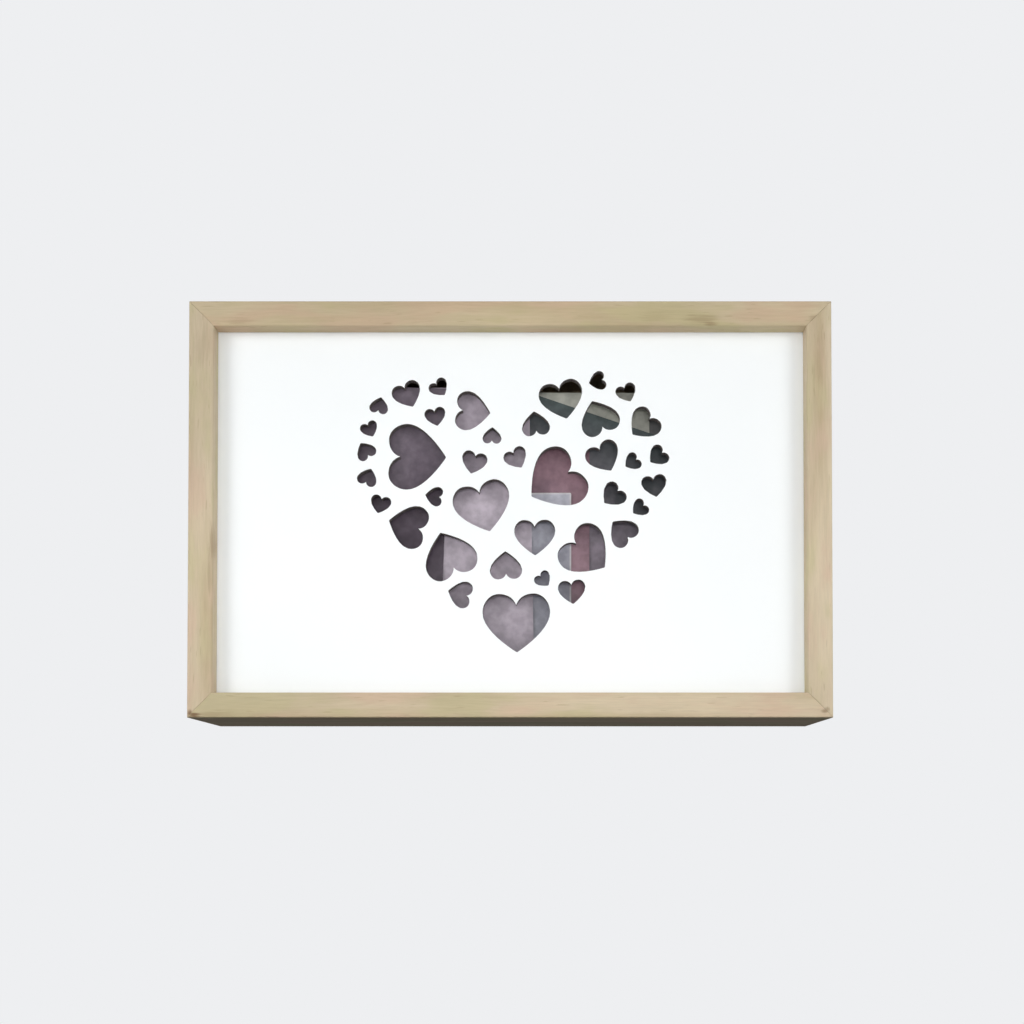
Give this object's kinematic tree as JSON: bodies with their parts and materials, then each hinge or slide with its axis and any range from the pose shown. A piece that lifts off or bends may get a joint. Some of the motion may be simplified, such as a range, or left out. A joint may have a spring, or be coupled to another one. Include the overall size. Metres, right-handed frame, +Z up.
{
  "type": "wooden photo box",
  "caption": "Deep mitred wooden box frame that stands on its lower edge, with a white panel of heart cut-outs in the front and loose photo prints showing behind it.",
  "frame": {"origin": "middle of the box's underside, which it stands on", "axes": "+Z up, -Y out of the front with the heart panel, +X to the right as seen from the front"},
  "size_m": [0.308, 0.045, 0.2],
  "materials": {
    "bottom_rail": "planed pale wood, bare, grain along the rail",
    "top_rail": "planed pale wood, bare, grain along the rail",
    "left_rail": "planed pale wood, bare, grain along the rail",
    "right_rail": "planed pale wood, bare, grain along the rail",
    "heart_panel": "fibreboard painted satin white",
    "back_board": "bare brown hardboard, matt",
    "photo_plum": "glossy photo print in plum and brown",
    "photo_lilac": "glossy photo print in pale lilac and grey",
    "photo_mist": "glossy photo print in misty grey",
    "photo_wine": "glossy photo print in wine red",
    "photo_dusk": "glossy photo print in dark green and slate",
    "photo_grey": "glossy photo print in grey green",
    "photo_night": "glossy photo print in near black"
  },
  "bodies": {
    "root": {"bottom_rail": "bottom_rail", "top_rail": "top_rail", "left_rail": "left_rail", "right_rail": "right_rail", "heart_panel": "heart_panel", "back_board": "back_board", "photo_plum": "photo_plum", "photo_lilac": "photo_lilac", "photo_mist": "photo_mist", "photo_wine": "photo_wine", "photo_dusk": "photo_dusk", "photo_grey": "photo_grey", "photo_night": "photo_night"}
  },
  "joints": []
}
